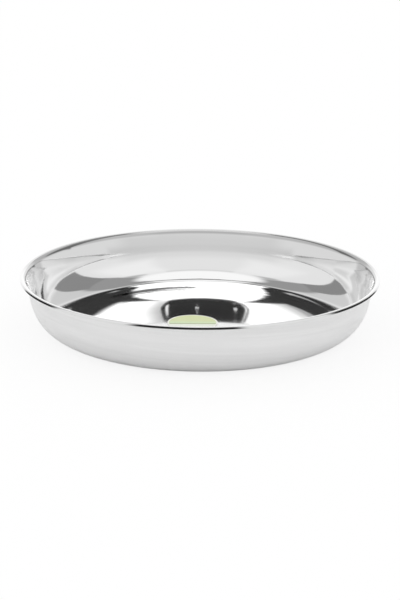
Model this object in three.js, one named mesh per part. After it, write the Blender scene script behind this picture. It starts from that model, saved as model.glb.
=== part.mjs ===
// Deep steel dinner plate, drawn from one round of sheet, with a paper label stuck to its base.
// Millimetres, +Z up. The origin is the middle of the base's underside.
import * as THREE from 'three';

// Driving dimensions of the plate
const rimDiameter = 280;
const plateHeight = 43.6;
const sheetThickness = 0.7;
const cornerRadius = 27.3;     // outside radius of the bend between base and wall
const cornerSweep = 64.4;      // degrees that the corner turns
const shoulderRadius = 42.3;   // outside radius of the slacker bend above the corner
const shoulderSweep = 15.9;    // degrees that the shoulder adds, up to the steepest part of the wall
const flareSweep = 7.3;        // degrees that the wall leans back out above the shoulder
const lipBendRadius = 3;       // on the underside of the lip
const hemGap = 0.9;            // open space inside the rolled edge
const hemReturn = 0.8;         // length of the leg that is folded back under the lip

// Driving dimensions of the label
const labelDiameter = 40;
const labelCentre = new THREE.Vector2(-5.6, 4.9);
const paperThickness = 0.15;
const adhesiveThickness = 0.1;
const adhesiveMargin = 0.5;    // bare paper round the glue

// Facets round the plate and the label, and steps along each bend
const plateFacets = 72;
const labelFacets = 48;
const cornerSteps = 8;
const shoulderSteps = 3;
const flareSteps = 3;
const lipSteps = 3;
const hemSteps = 6;

// Sizes that follow
const steepSlope = cornerSweep + shoulderSweep;
const topSlope = steepSlope - flareSweep;
const hemRadius = sheetThickness + hemGap / 2;

// Points on a circular bend. Angles are in degrees from straight down, turning outwards and then up.
function bend(centre, radius, from, to, steps) {
  return Array.from({ length: steps + 1 }, (_, i) => {
    const angle = THREE.MathUtils.degToRad(THREE.MathUtils.lerp(from, to, i / steps));
    return new THREE.Vector2(centre.x + radius * Math.sin(angle), centre.y - radius * Math.cos(angle));
  });
}

// A closed outline of (radius, height) points turned about the Z axis
function turned(outline, facets) {
  return new THREE.LatheGeometry(outline, facets).rotateX(Math.PI / 2);
}

// The centres of the bends. The lip runs into the rolled edge, and the flare, shoulder and corner carry
// on down from it, each one tangent to the next. The flare's radius takes up the height that is left.
function bendCentres() {
  const cornerEnd = THREE.MathUtils.degToRad(cornerSweep);
  const steep = THREE.MathUtils.degToRad(steepSlope);
  const top = THREE.MathUtils.degToRad(topSlope);
  const growth = shoulderRadius - cornerRadius;
  const hem = new THREE.Vector2(rimDiameter / 2 - hemRadius, plateHeight - hemRadius);
  const lip = new THREE.Vector2(hem.x, plateHeight - sheetThickness - lipBendRadius);
  const shoulder = new THREE.Vector2(0, cornerRadius + growth * Math.cos(cornerEnd));
  const rise = lip.y + lipBendRadius * Math.cos(top) - shoulder.y + shoulderRadius * Math.cos(steep);
  const flareRadius = rise / (Math.cos(top) - Math.cos(steep));
  const reach = flareRadius - lipBendRadius;
  const flare = new THREE.Vector2(lip.x + reach * Math.sin(top), lip.y - reach * Math.cos(top));
  shoulder.x = flare.x - (flareRadius + shoulderRadius) * Math.sin(steep);
  const corner = new THREE.Vector2(shoulder.x + growth * Math.sin(cornerEnd), cornerRadius);
  return { corner, shoulder, flare, flareRadius, lip, hem };
}

// The sheet's section: along the inside from the axis to the rim, round the hem and its folded leg,
// and back along the outside to the axis
function plateOutline() {
  const { corner, shoulder, flare, flareRadius, lip, hem } = bendCentres();
  const legTip = hem.x - hemReturn;
  const inside = [
    new THREE.Vector2(0, sheetThickness),
    ...bend(corner, cornerRadius - sheetThickness, 0, cornerSweep, cornerSteps),
    ...bend(shoulder, shoulderRadius - sheetThickness, cornerSweep, steepSlope, shoulderSteps).slice(1),
    ...bend(flare, flareRadius + sheetThickness, steepSlope - 180, topSlope - 180, flareSteps).slice(1),
    ...bend(lip, lipBendRadius + sheetThickness, topSlope - 180, -180, lipSteps).slice(1),
  ];
  const hemRoll = [
    ...bend(hem, hemRadius, 180, 0, hemSteps).slice(1),
    new THREE.Vector2(legTip, hem.y - hemRadius),
    new THREE.Vector2(legTip, hem.y - hemGap / 2),
    ...bend(hem, hemGap / 2, 0, 180, hemSteps),
  ];
  const outside = [
    ...bend(lip, lipBendRadius, -180, topSlope - 180, lipSteps).slice(1),
    ...bend(flare, flareRadius, topSlope - 180, steepSlope - 180, flareSteps).slice(1),
    ...bend(shoulder, shoulderRadius, steepSlope, cornerSweep, shoulderSteps).slice(1),
    ...bend(corner, cornerRadius, cornerSweep, 0, cornerSteps).slice(1),
    new THREE.Vector2(0, 0),
  ];
  return [...inside, ...hemRoll, ...outside].reverse();
}

function makePlateShell() {
  const steel = new THREE.MeshStandardMaterial({ color: '#d3d4d5', roughness: 0.12, metalness: 1 });
  const mesh = new THREE.Mesh(turned(plateOutline(), plateFacets), steel);
  mesh.name = 'plate_shell';
  return mesh;
}

// One flat round layer of the label, with its underside at a height above the table
function makeLayer(name, radius, thickness, height, material) {
  const outline = [
    new THREE.Vector2(0, 0),
    new THREE.Vector2(radius, 0),
    new THREE.Vector2(radius, thickness),
    new THREE.Vector2(0, thickness),
  ];
  const mesh = new THREE.Mesh(turned(outline, labelFacets), material);
  mesh.position.set(labelCentre.x, labelCentre.y, height);
  mesh.name = name;
  return mesh;
}

// The glue lies on the base, and the paper lies on the glue
function makeLabel() {
  const glue = new THREE.MeshStandardMaterial({ color: '#e9e6d6', roughness: 0.6, metalness: 0 });
  const paper = new THREE.MeshStandardMaterial({ color: '#dce5b8', roughness: 0.55, metalness: 0 });
  const paperRadius = labelDiameter / 2;
  const paperHeight = sheetThickness + adhesiveThickness;
  const label = new THREE.Group();
  label.add(makeLayer('label_adhesive', paperRadius - adhesiveMargin, adhesiveThickness, sheetThickness, glue));
  label.add(makeLayer('paper_label', paperRadius, paperThickness, paperHeight, paper));
  return label;
}

const plate = new THREE.Group();
plate.add(makePlateShell(), makeLabel());

export default plate;
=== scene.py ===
import bpy
from math import cos, pi, radians, sin
from mathutils import Matrix, Vector


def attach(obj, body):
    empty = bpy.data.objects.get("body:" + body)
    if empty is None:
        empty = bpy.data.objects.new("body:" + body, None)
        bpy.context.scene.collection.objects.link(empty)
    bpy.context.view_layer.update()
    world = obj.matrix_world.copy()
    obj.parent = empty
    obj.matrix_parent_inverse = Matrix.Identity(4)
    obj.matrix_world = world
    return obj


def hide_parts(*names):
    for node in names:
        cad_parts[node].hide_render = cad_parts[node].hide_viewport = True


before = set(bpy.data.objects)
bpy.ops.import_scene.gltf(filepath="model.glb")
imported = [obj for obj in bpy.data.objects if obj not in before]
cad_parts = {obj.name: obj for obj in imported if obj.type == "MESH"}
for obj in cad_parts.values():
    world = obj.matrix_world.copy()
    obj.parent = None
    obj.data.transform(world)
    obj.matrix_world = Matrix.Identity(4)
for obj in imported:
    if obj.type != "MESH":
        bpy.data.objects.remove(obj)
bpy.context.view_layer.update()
print("frame loaded, nodes:", ", ".join(sorted(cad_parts)))

mm = 0.001  # sizes below are in millimetres, Blender works in metres
smoothAngle = 35  # degrees: faces that meet at more than this keep a sharp edge
noiseLow, noiseHigh = 0.3, 0.7  # most of a Noise lies between these


def linear(hexColour):
    # sRGB hex to the linear colour that a socket takes
    channels = [int(hexColour[i:i + 2], 16) / 255 for i in (1, 3, 5)]
    values = [c / 12.92 if c <= 0.04045 else ((c + 0.055) / 1.055) ** 2.4 for c in channels]
    return (*values, 1.0)


def addNode(tree, kind, links=None, values=None, **settings):
    # adds a node, sets it up and links its inputs
    node = tree.nodes.new(kind)
    for name, setting in settings.items():
        setattr(node, name, setting)
    for socket, value in (values or {}).items():
        node.inputs[socket].default_value = value
    for socket, source in (links or {}).items():
        tree.links.new(source, node.inputs[socket])
    return node


def newMaterial(name):
    # an empty material, its tree and the shader that ends it
    material = bpy.data.materials.new(name)
    material.use_nodes = True
    tree = material.node_tree
    tree.nodes.clear()
    shader = addNode(tree, "ShaderNodeBsdfPrincipled")
    addNode(tree, "ShaderNodeOutputMaterial", {"Surface": shader.outputs["BSDF"]})
    return material, tree, shader


# Plate, drawn and spun from one round of sheet. The sizes are those of the solid.
plate = {
    "rimDiameter": 280,
    "height": 43.6,
    "sheet": 0.7,
    "corner": 27.3,
    "cornerSweep": 64.4,
    "shoulder": 42.3,
    "shoulderSweep": 15.9,
    "flareSweep": 7.3,
    "lipBend": 3.0,
    "hemGap": 0.9,
    "hemReturn": 0.8,
    "hemEase": 0.4,           # the rolled edge is pressed upright, and rounded by this at its corners
    "turns": 288,             # segments round the plate
    "baseRings": (35, 70, 90, 101, 103.6),
    "degreesPerStep": 1.6,    # along the corner, the shoulder and the flare
    "lipDegreesPerStep": 5,
    "hemDegreesPerStep": 10,
    "hollowDegreesPerStep": 15,  # round the open inside of the rolled edge
    "fewestSteps": 4,         # along any bend
    "mergeWithin": 0.01,
    "satinInset": 2.4,        # the satin outside ends this far in from the rim, behind the rolled edge
}


def bend(centre, radius, start, end, degreesPerStep):
    # points on a bend, by degrees from straight down, turning outwards and then up
    steps = max(plate["fewestSteps"], round(abs(end - start) / degreesPerStep))
    angles = [radians(start + (end - start) * i / steps) for i in range(steps + 1)]
    return [(centre[0] + radius * sin(a), centre[1] - radius * cos(a)) for a in angles]


def plateSection(p):
    # the closed section as (radius, height): inside, hem, folded leg, outside
    sheet = p["sheet"]
    step = p["degreesPerStep"]
    lipStep = p["lipDegreesPerStep"]
    hemStep = p["hemDegreesPerStep"]
    turn = p["cornerSweep"]
    steep = turn + p["shoulderSweep"]
    top = steep - p["flareSweep"]
    growth = p["shoulder"] - p["corner"]
    hemRadius = sheet + p["hemGap"] / 2
    hem = (p["rimDiameter"] / 2 - hemRadius, p["height"] - hemRadius)
    lip = (hem[0], p["height"] - sheet - p["lipBend"])
    shoulderHeight = p["corner"] + growth * cos(radians(turn))
    lipFall = p["lipBend"] * cos(radians(top))
    shoulderFall = p["shoulder"] * cos(radians(steep))
    rise = lip[1] + lipFall - shoulderHeight + shoulderFall
    flareRadius = rise / (cos(radians(top)) - cos(radians(steep)))  # takes up the height that is left
    reach = flareRadius - p["lipBend"]
    flare = (lip[0] + reach * sin(radians(top)), lip[1] - reach * cos(radians(top)))
    shoulder = (flare[0] - (flareRadius + p["shoulder"]) * sin(radians(steep)), shoulderHeight)
    corner = (shoulder[0] + growth * sin(radians(turn)), p["corner"])
    legTip = hem[0] - p["hemReturn"]
    inside = [(0, sheet)] + [(r, sheet) for r in p["baseRings"]]
    inside += bend(corner, p["corner"] - sheet, 0, turn, step)
    inside += bend(shoulder, p["shoulder"] - sheet, turn, steep, step)[1:]
    inside += bend(flare, flareRadius + sheet, steep - 180, top - 180, step)[1:]
    inside += bend(lip, p["lipBend"] + sheet, top - 180, -180, lipStep)[1:]
    press = hemRadius - p["hemEase"]
    hemRoll = bend((hem[0] + press, hem[1] + press), p["hemEase"], 180, 90, hemStep)
    hemRoll += bend((hem[0] + press, hem[1] - press), p["hemEase"], 90, 0, hemStep)
    hemRoll += [(hem[0], hem[1] - hemRadius)]
    hemRoll += [(legTip, hem[1] - hemRadius), (legTip, hem[1] - p["hemGap"] / 2)]
    hemRoll += bend(hem, p["hemGap"] / 2, 0, 180, p["hollowDegreesPerStep"])
    outside = bend(lip, p["lipBend"], -180, top - 180, lipStep)[1:]
    outside += bend(flare, flareRadius, top - 180, steep - 180, step)[1:]
    outside += bend(shoulder, p["shoulder"], steep, turn, step)[1:]
    outside += bend(corner, p["corner"], turn, 0, step)[1:]
    outside += [(r, 0) for r in reversed(p["baseRings"])] + [(0, 0)]
    return inside + hemRoll + outside


def makePlate(p):
    # a small plane is merged to one vertex, drawn along the section, and the line is spun round the axis
    points = [Vector((r * mm, 0, z * mm)) for r, z in plateSection(p)]
    bpy.ops.object.select_all(action="DESELECT")
    bpy.ops.mesh.primitive_plane_add(size=1 * mm, location=(0, 0, 0))
    piece = bpy.context.object
    piece.name = "drawn_plate"
    bpy.ops.object.mode_set(mode="EDIT")
    bpy.ops.mesh.select_all(action="SELECT")
    bpy.ops.mesh.merge(type="CENTER")
    bpy.ops.transform.translate(value=points[0])
    for here, there in zip(points, points[1:]):
        bpy.ops.mesh.extrude_vertices_move(TRANSFORM_OT_translate={"value": there - here})
    bpy.ops.mesh.select_all(action="SELECT")
    bpy.ops.mesh.spin(steps=p["turns"], angle=2 * pi, center=(0, 0, 0), axis=(0, 0, 1))
    bpy.ops.mesh.select_all(action="SELECT")
    bpy.ops.mesh.remove_doubles(threshold=p["mergeWithin"] * mm)
    bpy.ops.mesh.normals_make_consistent(inside=False)
    bpy.ops.object.mode_set(mode="OBJECT")
    bpy.ops.object.shade_smooth_by_angle(angle=radians(smoothAngle))
    return piece


# Label, a round of coated paper on a slightly smaller round of glue
label = {
    "diameter": 40,
    "centre": (-5.6, 4.9),
    "paper": 0.15,
    "glue": 0.1,
    "glueMargin": 0.5,
    "easedEdge": 0.05,
    "easeSegments": 2,
    "insets": (0.4, 4),       # rings of faces inside the edge
    "turns": 128,
    "border": 1.3,            # bare paper round the print
    "bandMiddle": -8.0,       # pale band across the print, from the label's middle
    "bandHalf": 4.1,
    "lineGap": 0.9,           # from the band's edge to the middle of its line
    "lineHalf": 0.8,
    "fade": 8,                # the print pales to mint over this width beside the lines
    "white": "#F4F4EC",
    "field": "#DCE4B0",
    "mint": "#D6EBC6",
    "band": "#EFF4E6",
    "line": "#A9AE83",
    "fieldBlur": 0.06,        # softness of the print's edges
    "lineBlur": 0.05,
    "fibre": 0.8,             # paper fibres are finer than 0.1 and are drawn coarser so that they show
    "fibreRelief": 0.02,
    "glueTints": ("#F0EEDF", "#E2DEC9"),
    "bubble": 0.6,
    "glueRoughness": 0.35,
}


def makeRound(name, radius, thickness, bottom, s):
    # a filled circle drawn up to its thickness, with its upper edge eased
    bpy.ops.object.select_all(action="DESELECT")
    bpy.ops.mesh.primitive_circle_add(vertices=s["turns"], radius=radius * mm, fill_type="NGON",
                                      location=(s["centre"][0] * mm, s["centre"][1] * mm, bottom * mm))
    piece = bpy.context.object
    piece.name = name
    bpy.ops.object.transform_apply(location=True, rotation=True, scale=True)
    bpy.ops.object.mode_set(mode="EDIT")
    bpy.ops.mesh.select_all(action="SELECT")
    bpy.ops.mesh.extrude_region_move(TRANSFORM_OT_translate={"value": (0, 0, thickness * mm)})
    for inset in s["insets"]:
        bpy.ops.mesh.inset(thickness=inset * mm)
    bpy.ops.mesh.select_all(action="SELECT")
    bpy.ops.mesh.normals_make_consistent(inside=False)
    bpy.ops.object.mode_set(mode="OBJECT")
    ease = piece.modifiers.new("eased edge", "BEVEL")
    ease.width = s["easedEdge"] * mm
    ease.segments = s["easeSegments"]
    ease.limit_method = "ANGLE"
    bpy.ops.object.modifier_apply(modifier=ease.name)
    bpy.ops.object.shade_smooth_by_angle(angle=radians(smoothAngle))
    return piece


# Polished stainless steel, buffed on a wheel while it turned. Inside it mirrors the room, with a faint
# haze that drifts over it and hair-fine rings round the middle, and its colour is painted a little darker
# up the wall and darker still in the bend under the lip: painted shade that stands in for dark reflections
# there. Outside it is left duller, a soft sheen with faint bands round it, with painted shade too. The
# painted shade goes by distance from the axis.
mirrorSteel = {
    # painted shade: darker from 131.4 mm out up the wall, and darkest in the bend under the lip at 135.4 to
    # 135.8 mm
    "shadeTones": ((131.4, "#DFDFDF"), (132.6, "#D4D4D4"), (135.0, "#D4D4D4"), (135.4, "#AEAEAE"),
              (135.8, "#AEAEAE"), (136.1, "#BEBEBE"), (136.7, "#BEBEBE"), (137.2, "#DFDFDF")),
    "roughness": 0.04,
    "haze": 0.03,             # rise in roughness where the buffing was lighter
    "cloudSize": 60,          # of the haze
    "ringSpacing": 1.2,
    "ringDepth": 0.0002,
    "bandWidth": 3.5,         # soft bands left by the spinning, and how far their tone swings
    "bandTone": 0.01,
    "bandChange": 0.06,       # how fast the bands change round the plate, against across them
}
satinSteel = {
    # painted shade: the outside is darker towards the base and again just under the rolled edge
    "shadeTones": ((104, "#E1E1E1"), (112, "#E5E5E5"), (127, "#E9E9E9"), (131.5, "#EBEBEB"),
              (133, "#E5E5E5")),
    "roughness": 0.20,
    "haze": 0.05,
    "cloudSize": 60,
    "ringSpacing": 0.9,
    "ringDepth": 0.0006,
    "bandWidth": 3.5,
    "bandTone": 0.07,
    "bandChange": 0.06,
}


def polishedStainless(name, s):
    material, tree, shader = newMaterial(name)
    place = addNode(tree, "ShaderNodeTexCoord")
    drift = addNode(tree, "ShaderNodeTexNoise", {"Vector": place.outputs["Object"]},
                    {"Scale": 1 / (s["cloudSize"] * mm), "Detail": 3.0, "Roughness": 0.5})
    # a Wave's rings are 2 pi / (20 * Scale) apart
    rings = addNode(tree, "ShaderNodeTexWave", {"Vector": place.outputs["Object"]},
                    {"Scale": 2 * pi / (20 * s["ringSpacing"] * mm), "Distortion": 1.5, "Detail": 2.0,
                     "Detail Scale": 0.4}, wave_type="RINGS", rings_direction="Z")
    cloud = addNode(tree, "ShaderNodeMapRange", {"Value": drift.outputs["Fac"]},
                    {"From Min": noiseLow, "From Max": noiseHigh, "To Min": s["roughness"],
                     "To Max": s["roughness"] + s["haze"]})
    # the rings add half as much roughness again
    streak = addNode(tree, "ShaderNodeMath", {0: rings.outputs["Fac"], 2: cloud.outputs["Result"]},
                     {1: s["haze"] / 2}, operation="MULTIPLY_ADD")
    relief = addNode(tree, "ShaderNodeBump", {"Height": rings.outputs["Fac"]},
                     {"Strength": 1.0, "Distance": s["ringDepth"] * mm})
    axes = addNode(tree, "ShaderNodeSeparateXYZ", {"Vector": place.outputs["Object"]})
    flat = addNode(tree, "ShaderNodeCombineXYZ", {"X": axes.outputs["X"], "Y": axes.outputs["Y"]})
    reach = addNode(tree, "ShaderNodeVectorMath", {0: flat.outputs["Vector"]}, operation="LENGTH")
    # painted shade: the steel colour is darkened by distance from the axis
    lowest, highest = s["shadeTones"][0][0], s["shadeTones"][-1][0]
    along = addNode(tree, "ShaderNodeMapRange", {"Value": reach.outputs["Value"]},
                    {"From Min": lowest * mm, "From Max": highest * mm})
    tone = addNode(tree, "ShaderNodeValToRGB", {"Fac": along.outputs["Result"]})
    stops = tone.color_ramp.elements
    stops[0].color, stops[1].color = linear(s["shadeTones"][0][1]), linear(s["shadeTones"][-1][1])
    for distance, colour in s["shadeTones"][1:-1]:
        stops.new((distance - lowest) / (highest - lowest)).color = linear(colour)
    # the bands follow the section, and fade in and out slowly round the plate
    section = addNode(tree, "ShaderNodeMath", {0: reach.outputs["Value"], 1: axes.outputs["Z"]},
                      operation="ADD")
    ringwise = addNode(tree, "ShaderNodeCombineXYZ", {"X": section.outputs["Value"]})
    slow = addNode(tree, "ShaderNodeVectorMath", {0: place.outputs["Object"]}, {"Scale": s["bandChange"]},
                   operation="SCALE")
    spun = addNode(tree, "ShaderNodeVectorMath", {0: ringwise.outputs["Vector"], 1: slow.outputs["Vector"]},
                   operation="ADD")
    bands = addNode(tree, "ShaderNodeTexNoise", {"Vector": spun.outputs["Vector"]},
                    {"Scale": 1 / (s["bandWidth"] * mm), "Detail": 2.0, "Roughness": 0.6})
    swing = addNode(tree, "ShaderNodeMapRange", {"Value": bands.outputs["Fac"]},
                    {"From Min": noiseLow, "From Max": noiseHigh, "To Min": 1 - s["bandTone"] / 2,
                     "To Max": 1 + s["bandTone"] / 2})
    banded = addNode(tree, "ShaderNodeMix", {6: tone.outputs["Color"], 7: swing.outputs["Result"]},
                     {"Factor": 1.0}, data_type="RGBA", blend_type="MULTIPLY")
    tree.links.new(banded.outputs[2], shader.inputs["Base Color"])
    tree.links.new(streak.outputs["Value"], shader.inputs["Roughness"])
    tree.links.new(relief.outputs["Normal"], shader.inputs["Normal"])
    shader.inputs["Metallic"].default_value = 1.0
    return material


# Coated label paper, offset printed: a smooth, nearly matt sheet with a faint fibre mottle under flat
# tints.
def labelPaper(s):
    material, tree, shader = newMaterial("coated_label_paper")
    place = addNode(tree, "ShaderNodeTexCoord")
    centred = addNode(tree, "ShaderNodeMapping", {"Vector": place.outputs["Object"]},
                      {"Location": (-s["centre"][0] * mm, -s["centre"][1] * mm, 0)})
    axes = addNode(tree, "ShaderNodeSeparateXYZ", {"Vector": centred.outputs["Vector"]})
    flat = addNode(tree, "ShaderNodeCombineXYZ", {"X": axes.outputs["X"], "Y": axes.outputs["Y"]})
    reach = addNode(tree, "ShaderNodeVectorMath", {0: flat.outputs["Vector"]}, operation="LENGTH")
    fieldEdge = s["diameter"] / 2 - s["border"]
    inField = addNode(tree, "ShaderNodeMapRange", {"Value": reach.outputs["Value"]},
                      {"From Min": (fieldEdge + s["fieldBlur"]) * mm,
                       "From Max": (fieldEdge - s["fieldBlur"]) * mm})
    fromBand = addNode(tree, "ShaderNodeMath", {0: axes.outputs["Y"]}, {1: s["bandMiddle"] * mm},
                       operation="SUBTRACT")
    offBand = addNode(tree, "ShaderNodeMath", {0: fromBand.outputs["Value"]}, operation="ABSOLUTE")
    inBand = addNode(tree, "ShaderNodeMapRange", {"Value": offBand.outputs["Value"]},
                     {"From Min": (s["bandHalf"] + s["lineBlur"]) * mm,
                      "From Max": (s["bandHalf"] - s["lineBlur"]) * mm})
    lineReach = (s["bandHalf"] + s["lineGap"]) * mm
    fromLine = addNode(tree, "ShaderNodeMath", {0: offBand.outputs["Value"]}, {1: lineReach},
                       operation="SUBTRACT")
    offLine = addNode(tree, "ShaderNodeMath", {0: fromLine.outputs["Value"]}, operation="ABSOLUTE")
    inLine = addNode(tree, "ShaderNodeMapRange", {"Value": offLine.outputs["Value"]},
                     {"From Min": (s["lineHalf"] + s["lineBlur"]) * mm,
                      "From Max": (s["lineHalf"] - s["lineBlur"]) * mm})
    nearLine = addNode(tree, "ShaderNodeMapRange", {"Value": offBand.outputs["Value"]},
                       {"From Min": lineReach + s["fade"] * mm, "From Max": lineReach})
    field = addNode(tree, "ShaderNodeMix", {"Factor": nearLine.outputs["Result"]},
                    {6: linear(s["field"]), 7: linear(s["mint"])}, data_type="RGBA")
    banded = addNode(tree, "ShaderNodeMix", {"Factor": inBand.outputs["Result"], 6: field.outputs[2]},
                     {7: linear(s["band"])}, data_type="RGBA")
    lined = addNode(tree, "ShaderNodeMix", {"Factor": inLine.outputs["Result"], 6: banded.outputs[2]},
                    {7: linear(s["line"])}, data_type="RGBA")
    printed = addNode(tree, "ShaderNodeMix", {"Factor": inField.outputs["Result"], 7: lined.outputs[2]},
                      {6: linear(s["white"])}, data_type="RGBA")
    fibre = addNode(tree, "ShaderNodeTexNoise", {"Vector": place.outputs["Object"]},
                    {"Scale": 1 / (s["fibre"] * mm), "Detail": 4.0, "Roughness": 0.6})
    mottle = addNode(tree, "ShaderNodeMapRange", {"Value": fibre.outputs["Fac"]},
                     {"From Min": noiseLow, "From Max": noiseHigh, "To Min": 0.93, "To Max": 1.0})
    tinted = addNode(tree, "ShaderNodeMix", {6: printed.outputs[2], 7: mottle.outputs["Result"]},
                     {"Factor": 1.0}, data_type="RGBA", blend_type="MULTIPLY")
    sheen = addNode(tree, "ShaderNodeMapRange", {"Value": fibre.outputs["Fac"]},
                    {"From Min": noiseLow, "From Max": noiseHigh, "To Min": 0.42, "To Max": 0.52})
    relief = addNode(tree, "ShaderNodeBump", {"Height": fibre.outputs["Fac"]},
                     {"Strength": 0.4, "Distance": s["fibreRelief"] * mm})
    tree.links.new(tinted.outputs[2], shader.inputs["Base Color"])
    tree.links.new(sheen.outputs["Result"], shader.inputs["Roughness"])
    tree.links.new(relief.outputs["Normal"], shader.inputs["Normal"])
    return material


# Acrylic label glue: a thin milky layer with tiny trapped bubbles, hidden under the paper.
def labelGlue(s):
    material, tree, shader = newMaterial("acrylic_label_glue")
    place = addNode(tree, "ShaderNodeTexCoord")
    bubbles = addNode(tree, "ShaderNodeTexVoronoi", {"Vector": place.outputs["Object"]},
                      {"Scale": 1 / (s["bubble"] * mm)})
    milk = addNode(tree, "ShaderNodeMix", {"Factor": bubbles.outputs["Distance"]},
                   {6: linear(s["glueTints"][0]), 7: linear(s["glueTints"][1])}, data_type="RGBA")
    tree.links.new(milk.outputs[2], shader.inputs["Base Color"])
    shader.inputs["Roughness"].default_value = s["glueRoughness"]
    return material


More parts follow.
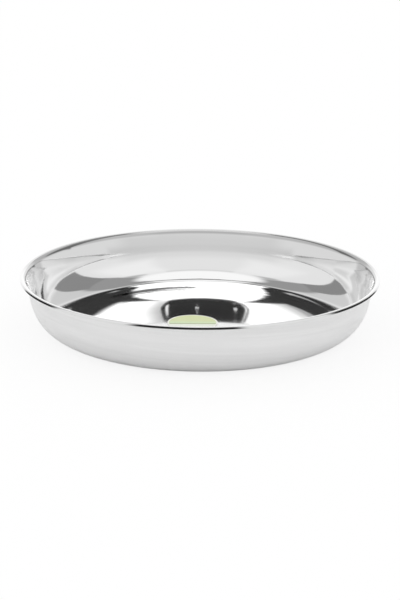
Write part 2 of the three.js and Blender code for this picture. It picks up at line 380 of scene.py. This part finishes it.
# Studio: a white floor, and a white room with a bright box overhead and dark cards for the steel to
# mirror. Each look has the room's own level and its cards. Each card has a level, the softness of its edge,
# and its corners: degrees from the back of the room to the right, and degrees up, or on the floor the
# distance from the middle in millimetres. A later card lies over an earlier one.
studio = {
    "floorSize": 6000,
    "floorDrop": 0.05,        # below the base, so that the two don't share a plane
    "floorColour": "#FFFFFF",
    "floorGlow": 0.85,        # share of the floor that shows plain white instead of its shade
    "gain": 1.15,             # makes up what the steel takes at each turn after the second
    # what a first reflection meets
    "first": (1.03, (
        # the box overhead
        (1.27, 4, (-190, 67), (190, 67), (190, 130), (-190, 130)),
        # the front of the room, dimmer towards the floor
        (0.92, 9, (116, -40), (244, -40), (236, 20), (124, 20)),
        (0.77, 5, (110, -40), (250, -40), (246, 6), (114, 6)),
        # the back, brighter low down
        (1.25, 3, (-40, -15), (40, -15), (30, 18), (-30, 18)),
        # the front corners
        (1.15, 9, (97, 22), (143, 22), (143, 62), (97, 62)),
        (1.12, 9, (-97, 22), (-143, 22), (-143, 62), (-97, 62)),
        # a dim strip under the front of the box
        (0.88, 2, (140, 61.5), (220, 61.5), (220, 65), (140, 65)),
        # behind the dark cards on each side
        (0.80, 4, (26, 16), (52, 16), (52, 44), (26, 50)),
        (0.80, 4, (-26, 16), (-50, 16), (-50, 44), (-26, 50)),
        # dim edges above the dark cards, and an arc across the back of the box
        (0.60, 3, (85, 54), (97, 57.5), (115, 60), (112, 63), (85, 66)),
        (0.60, 3, (-74, 53), (-90, 58), (-115, 60), (-112, 63), (-80, 66)),
        (0.40, 2.5, (25, 51), (50, 42), (88, 44), (91, 53), (88, 66), (30, 66), (25, 63)),
        (0.40, 2.5, (-25, 51), (-48, 42), (-73, 44), (-76, 52), (-80, 66), (-30, 66), (-25, 63)),
        (0.16, 1.5, (-1, 74), (22, 71), (22, 75.4), (-1, 78.4)),
        (0.16, 1.5, (1, 74), (-22, 71), (-22, 75.4), (1, 78.4)),
        (0.2, 1.5, (20, 71.6), (42, 63.2), (42, 67.2), (20, 76)),
        (0.2, 1.5, (-20, 71.6), (-42, 63.2), (-42, 67.2), (-20, 76)),
        # the dark cards, one on the right and two that make one on the left
        (0.33, 1, (52, 8.5), (80, 8.5), (85, 24), (88, 46), (50, 46)),
        (0.33, 1, (-48.5, 8.5), (-69.5, 8.5), (-70, 34), (-48.5, 34)),
        (0.33, 1, (-48.5, 30), (-69.5, 30), (-74, 46), (-47, 46)),
        # black uprights at the back
        (0.05, 3.5, (17, 24), (21, 24), (21.5, 62), (17, 62)),
        (0.05, 3.5, (-17, 24), (-21, 24), (-21.5, 62), (-17, 62)),
    )),
    # what later reflections meet
    "later": (1.45, (
        # the sides and the front corners, low down
        (1.58, 4, (98, -10), (150, -10), (150, 16), (98, 16)),
        (1.58, 4, (-98, -10), (-150, -10), (-150, 16), (-98, 16)),
        (1.30, 4, (112, 20), (133, 20), (133, 27), (112, 27)),
        (1.20, 4, (-112, 18), (-148, 18), (-148, 26), (-112, 26)),
        (1.15, 4, (75, 4), (98, 4), (98, 24), (75, 24)),
        (1.10, 4, (-75, 4), (-103, 4), (-103, 24), (-75, 24)),
        # dark strips low on each side, and a small black card on the right
        (0.30, 2, (52, 2), (78, 2), (79, 10.5), (52, 12)),
        (0.35, 2, (-55, 3), (-78, 3), (-79, 12.5), (-55, 12.5)),
        (0.08, 0.8, (72, 14), (84.5, 14), (84.5, 18.3), (72, 18.3)),
        # the bright upper room
        (2.4, 3, (-190, 31), (190, 31), (190, 130), (-190, 130)),
        # a black card on the right that tapers to the front
        (0.06, 1.5, (20, 42), (60, 36.6), (104, 36.6), (104, 58), (88, 66), (60, 67.5), (40, 65),
         (20, 58)),
        (2.4, 9.5, (92, 30), (150, 30), (150, 56), (92, 56)),
        (0.07, 1.5, (80, 57), (138, 55.8), (140, 57), (105, 64.2), (85, 67.4), (80, 67.4)),
        # the same on the left, with a softer front edge
        (1.7, 6, (-90, 35), (-106, 35), (-112, 57), (-97, 57)),
        (1.2, 5, (-78, 35), (-94, 35), (-101, 57), (-86, 57)),
        (0.7, 4, (-58, 35), (-82, 35), (-89, 57), (-68, 57)),
        (0.06, 1.5, (-20, 42), (-58, 36.6), (-65.5, 36.6), (-88, 67), (-60, 68), (-40, 65.5), (-20, 57)),
        (0.07, 1.5, (-80, 56), (-137, 53.5), (-138, 54.5), (-105, 64), (-85, 67.4), (-80, 67.4)),
        # the tip of the right card, thin and paler towards the back
        (0.45, 0.6, (12, 74), (21, 70), (21, 75.4), (12, 78.8)),
        (0.32, 0.6, (19, 70), (28, 66), (28, 71.8), (19, 76)),
        (0.16, 0.8, (26, 66), (34, 60), (40, 64), (38, 69.2), (34, 69.8), (26, 72.4)),
        # a black card in front with rounded corners, soft edges and small lights
        (1.0, 12, (138.5, 25), (165, 25), (165, 56), (138.5, 56)),
        (1.7, 5, (212, 25), (221, 25), (221, 54), (212, 54)),
        (0.05, 0.8, (148.7, 30), (216.6, 30), (216.8, 51), (215, 56), (210, 58.6), (201, 60.8), (190, 62),
         (180, 62.4), (170, 61.6), (160, 60), (153, 58), (149.3, 55.5), (148.7, 50)),
        (0.25, 0.4, (218.4, 34), (219.7, 34), (219.7, 48), (218, 52), (217.2, 52)),
        (1.7, 0.6, (152.6, 35), (155, 35), (154, 43.5), (152.3, 43.5)),
        (2.2, 0.2, (176.4, 35), (179.4, 35), (179.4, 38.3), (176.4, 38.3)),
        (0.6, 0.4, (177.3, 41), (178.4, 41), (178.4, 43.4), (177.3, 43.4)),
        (1.7, 0.2, (207.2, 35), (209.8, 35), (209.8, 38.3), (207.2, 38.3)),
        (1.1, 0.3, (209.5, 48.6), (212.5, 48.6), (212.5, 49.6), (209.5, 49.6)),
    )),
    # what dims reflections of the third turn and on
    "third": (1.0, (
        (0.12, 1, (12, 60), (100, 60), (100, 88), (12, 88)),
    )),
    # black cards that lie on the floor and draw the rolled edge as a dark line
    "floor": (1.0, (
        (0.03, 4, (161, 212), (211, 212), (211, 900), (161, 900)),
        (0.03, 4, (255, 212), (288, 212), (288, 900), (255, 900)),
        (0.03, 4, (69, 212), (114, 212), (114, 900), (69, 900)),
    )),
}


def cardLevel(tree, heading, height, look):
    # the level of a look by direction: each card lies inside the lines through its neighbouring corners
    level = addNode(tree, "ShaderNodeValue")
    level.outputs[0].default_value = look[0]
    for shine, softness, *corners in look[1]:
        middle = sum(c[0] for c in corners) / len(corners)
        fromMiddle = addNode(tree, "ShaderNodeMath", {0: heading}, {1: radians(middle)},
                             operation="SUBTRACT")
        wrapped = addNode(tree, "ShaderNodeMath", {0: fromMiddle.outputs[0]}, {1: pi, 2: -pi},
                          operation="WRAP")
        spot = addNode(tree, "ShaderNodeCombineXYZ", {"X": wrapped.outputs[0], "Y": height}, {"Z": 1.0})
        points = [Vector((radians(c[0] - middle), radians(c[1]))) for c in corners]
        edges = list(zip(points, points[1:] + points[:1]))
        side = 1 if sum(here.cross(there) for here, there in edges) > 0 else -1
        depth = None
        for here, there in edges:
            across = Vector((here.y - there.y, there.x - here.x)).normalized() * side
            line = addNode(tree, "ShaderNodeVectorMath", {0: spot.outputs[0]},
                           {1: (across.x, across.y, -across.dot(here))}, operation="DOT_PRODUCT")
            if depth is None:
                depth = line.outputs["Value"]
            else:
                nearest = addNode(tree, "ShaderNodeMath", {0: depth, 1: line.outputs["Value"]},
                                  operation="MINIMUM")
                depth = nearest.outputs[0]
        inside = addNode(tree, "ShaderNodeMapRange", {"Value": depth},
                         {"From Min": -radians(softness), "From Max": radians(softness)},
                         interpolation_type="SMOOTHSTEP")
        level = addNode(tree, "ShaderNodeMix", {0: inside.outputs[0], 2: level.outputs[0]}, {3: shine})
    return level.outputs[0]


def makeFloor(s):
    bpy.ops.object.select_all(action="DESELECT")
    bpy.ops.mesh.primitive_plane_add(size=s["floorSize"] * mm, location=(0, 0, -s["floorDrop"] * mm))
    floor = bpy.context.object
    floor.name = "white_floor"
    material = bpy.data.materials.new("white_board")
    material.use_nodes = True
    tree = material.node_tree
    tree.nodes.clear()
    path = addNode(tree, "ShaderNodeLightPath")
    share = addNode(tree, "ShaderNodeMath", {0: path.outputs["Is Camera Ray"]}, {1: s["floorGlow"]},
                    operation="MULTIPLY")
    place = addNode(tree, "ShaderNodeTexCoord")
    axes = addNode(tree, "ShaderNodeSeparateXYZ", {"Vector": place.outputs["Object"]})
    heading = addNode(tree, "ShaderNodeMath", {0: axes.outputs["X"], 1: axes.outputs["Y"]},
                      operation="ARCTAN2")
    reach = addNode(tree, "ShaderNodeVectorMath", {0: place.outputs["Object"]}, operation="LENGTH")
    # a millimetre stands for a degree here
    away = addNode(tree, "ShaderNodeMath", {0: reach.outputs["Value"]}, {1: radians(1) / mm},
                   operation="MULTIPLY")
    cards = cardLevel(tree, heading.outputs[0], away.outputs[0], s["floor"])
    toSteel = addNode(tree, "ShaderNodeMix", {0: path.outputs["Is Glossy Ray"], 3: cards}, {2: 1.0})
    board = addNode(tree, "ShaderNodeBsdfDiffuse", {"Color": toSteel.outputs[0]})
    glow = addNode(tree, "ShaderNodeEmission",
                   values={"Color": linear(s["floorColour"]), "Strength": 1.0})
    mixed = addNode(tree, "ShaderNodeMixShader",
                    {0: share.outputs[0], 1: board.outputs[0], 2: glow.outputs[0]})
    addNode(tree, "ShaderNodeOutputMaterial", {"Surface": mixed.outputs[0]})
    floor.data.materials.append(material)


def makeRoom(s):
    # light by direction for the reflections only: to the camera and to matt surfaces it is plain white
    world = bpy.data.worlds.new("white_room")
    bpy.context.scene.world = world
    world.use_nodes = True
    world.cycles.sampling_method = "NONE"
    tree = world.node_tree
    tree.nodes.clear()
    path = addNode(tree, "ShaderNodeLightPath")
    place = addNode(tree, "ShaderNodeTexCoord")
    axes = addNode(tree, "ShaderNodeSeparateXYZ", {"Vector": place.outputs["Generated"]})
    height = addNode(tree, "ShaderNodeMath", {0: axes.outputs["Z"]}, operation="ARCSINE")
    heading = addNode(tree, "ShaderNodeMath", {0: axes.outputs["X"], 1: axes.outputs["Y"]},
                      operation="ARCTAN2")
    # Glossy Depth counts the turns: 1 for a first reflection, 2 and up for later ones
    again = addNode(tree, "ShaderNodeMath", {0: path.outputs["Glossy Depth"]}, {1: 1.5},
                    operation="GREATER_THAN")
    first = cardLevel(tree, heading.outputs[0], height.outputs[0], s["first"])
    later = cardLevel(tree, heading.outputs[0], height.outputs[0], s["later"])
    # light that was turned more than twice keeps its level
    extra = addNode(tree, "ShaderNodeMath", {0: path.outputs["Glossy Depth"]}, {1: 2},
                    operation="SUBTRACT")
    turns = addNode(tree, "ShaderNodeMath", {0: extra.outputs[0]}, {1: 0}, operation="MAXIMUM")
    gain = addNode(tree, "ShaderNodeMath", {1: turns.outputs[0]}, {0: s["gain"]}, operation="POWER")
    kept = addNode(tree, "ShaderNodeMath", {0: later, 1: gain.outputs[0]}, operation="MULTIPLY")
    # but the third look dims it
    dim = cardLevel(tree, heading.outputs[0], height.outputs[0], s["third"])
    third = addNode(tree, "ShaderNodeMath", {0: turns.outputs[0]}, {1: 1}, operation="MINIMUM")
    share = addNode(tree, "ShaderNodeMath", {0: dim, 1: third.outputs[0]}, operation="POWER")
    dimmed = addNode(tree, "ShaderNodeMath", {0: kept.outputs[0], 1: share.outputs[0]},
                     operation="MULTIPLY")
    level = addNode(tree, "ShaderNodeMix", {0: again.outputs[0], 2: first, 3: dimmed.outputs[0]})
    seen = addNode(tree, "ShaderNodeMix", {0: path.outputs["Is Glossy Ray"], 3: level.outputs[0]},
                   {2: 1.0})
    light = addNode(tree, "ShaderNodeBackground", {"Strength": seen.outputs[0]},
                    {"Color": linear("#FFFFFF")})
    addNode(tree, "ShaderNodeOutputWorld", {"Surface": light.outputs[0]})


# Camera, as fitted to the rim and the outline of the plate in a picture of 400 by 600
view = {
    "target": (0, 0, 24.7),
    "distance": 1200,
    "elevation": 16.66,
    "roll": 0.416,
    "lens": 91.70,
    "sensor": 36,             # along the picture's height
    "clipStart": 10,
    "shift": (0.0002, -0.0075),
}


def makeCamera(v):
    up = radians(v["elevation"])
    target = Vector(v["target"]) * mm
    bpy.ops.object.camera_add()
    camera = bpy.context.object
    camera.name = "photo_camera"
    camera.data.lens = v["lens"]
    camera.data.sensor_width = v["sensor"]
    camera.data.shift_x, camera.data.shift_y = v["shift"]
    camera.data.clip_start = v["clipStart"] * mm
    camera.location = target + Vector((0, -cos(up), sin(up))) * v["distance"] * mm
    tilt = Matrix.Rotation(radians(90 - v["elevation"]), 3, "X")
    roll = Matrix.Rotation(radians(v["roll"]), 3, "Z")
    camera.rotation_euler = (tilt @ roll).to_euler()
    bpy.context.scene.camera = camera


makeCamera(view)
makeFloor(studio)
makeRoom(studio)
print("camera, floor and room set")

inner = polishedStainless("polished_stainless", mirrorSteel)
outer = polishedStainless("satin_stainless", satinSteel)
steel = makePlate(plate)
steel.data.materials.append(inner)
steel.data.materials.append(outer)
satinReach = plate["rimDiameter"] / 2 - plate["satinInset"]
facingDown = -0.001
for face in steel.data.polygons:
    reach = (face.center.x ** 2 + face.center.y ** 2) ** 0.5
    face.material_index = 1 if face.normal.z < facingDown and reach < satinReach * mm else 0
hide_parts("plate_shell")
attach(steel, "root")
print("plate spun,", len(steel.data.polygons), "faces")

glueBottom = plate["sheet"]
paperBottom = glueBottom + label["glue"]
paperRadius = label["diameter"] / 2
glue = makeRound("glue_round", paperRadius - label["glueMargin"], label["glue"], glueBottom, label)
glue.data.materials.append(labelGlue(label))
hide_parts("label_adhesive")
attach(glue, "root")
paper = makeRound("paper_round", paperRadius, label["paper"], paperBottom, label)
paper.data.materials.append(labelPaper(label))
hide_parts("paper_label")
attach(paper, "root")
print("label stuck on")

bpy.context.scene.view_settings.view_transform = "Standard"
# light turns many times between the wall and the lip
bpy.context.scene.cycles.glossy_bounces = 10
bpy.context.scene.cycles.max_bounces = 12
